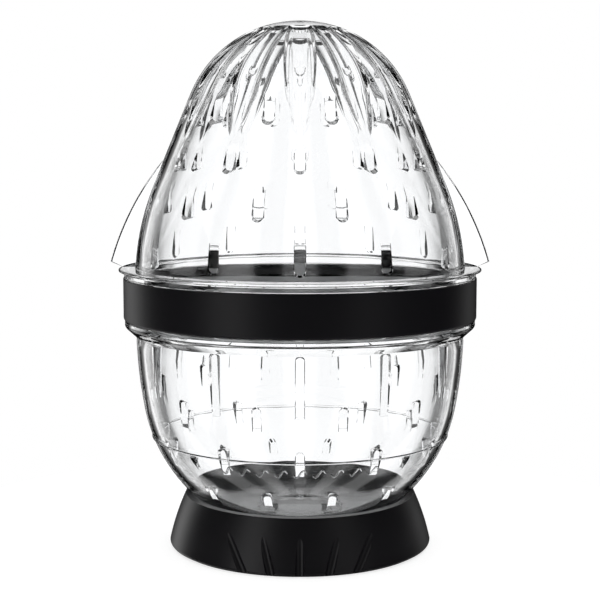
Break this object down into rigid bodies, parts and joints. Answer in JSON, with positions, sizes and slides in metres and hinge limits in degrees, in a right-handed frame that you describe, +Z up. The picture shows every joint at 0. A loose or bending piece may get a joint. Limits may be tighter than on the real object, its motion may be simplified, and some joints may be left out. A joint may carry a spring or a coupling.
{
  "type": "egg peeler",
  "caption": "Hand-shaken egg peeler: clear egg-shaped bowl with a fill line, fluted winged dome lid, black bayonet collar and flared black foot.",
  "frame": {"origin": "centre of the resting face under the foot", "axes": "+Z up through the dome's crown; the wings point along +X and -X; -Y is the front"},
  "size_m": [0.1176, 0.112, 0.1624],
  "materials": {
    "clear_plastic": "polished",
    "silicone": "matte",
    "black_plastic": "satin",
    "black_rubber": "matte"
  },
  "bodies": {
    "base": {"bowl": "clear_plastic", "lock_collar": "black_plastic", "foot": "black_plastic", "foot_pad": "black_rubber"},
    "seal": {"lid_seal": "silicone"},
    "lid": {"lid_dome": "clear_plastic"}
  },
  "joints": [
    {"name": "lid_lift", "type": "slide", "parent": "base", "child": "seal", "axis": [0, 0, 1], "range_m": [0, 0.12]},
    {"name": "lid_turn", "type": "hinge", "parent": "seal", "child": "lid", "pos_m": [0, 0, 0.0842], "axis": [0, 0, -1], "range_deg": [0, 30]}
  ]
}
